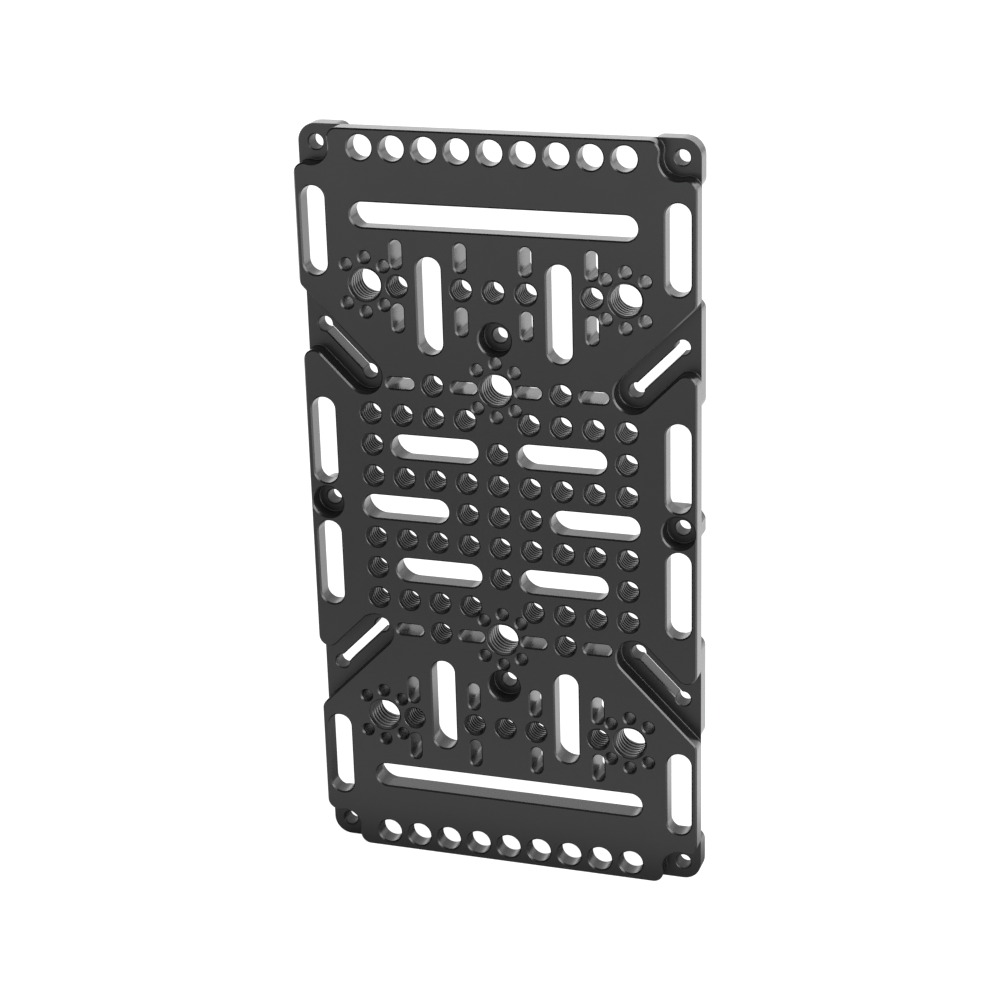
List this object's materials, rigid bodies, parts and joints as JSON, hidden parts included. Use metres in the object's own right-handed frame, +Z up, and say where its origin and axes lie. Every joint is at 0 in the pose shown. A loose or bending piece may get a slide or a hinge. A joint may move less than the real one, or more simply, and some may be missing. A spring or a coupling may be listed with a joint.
{
  "type": "camera cheese plate",
  "caption": "Flat rectangular camera mounting plate, milled in one piece, with a grid of threaded holes, screw slots, locating holes, pocketed corners and diagonal display-screw slits.",
  "frame": {"origin": "middle of the plate's lower edge, halfway through its thickness", "axes": "+Z up the plate's length, X across its width, -Y out of its front"},
  "size_m": [0.11, 0.0098, 0.21],
  "materials": {
    "plate": "satin black anodised"
  },
  "bodies": {
    "root": {"cheese_plate": "plate"}
  },
  "joints": []
}
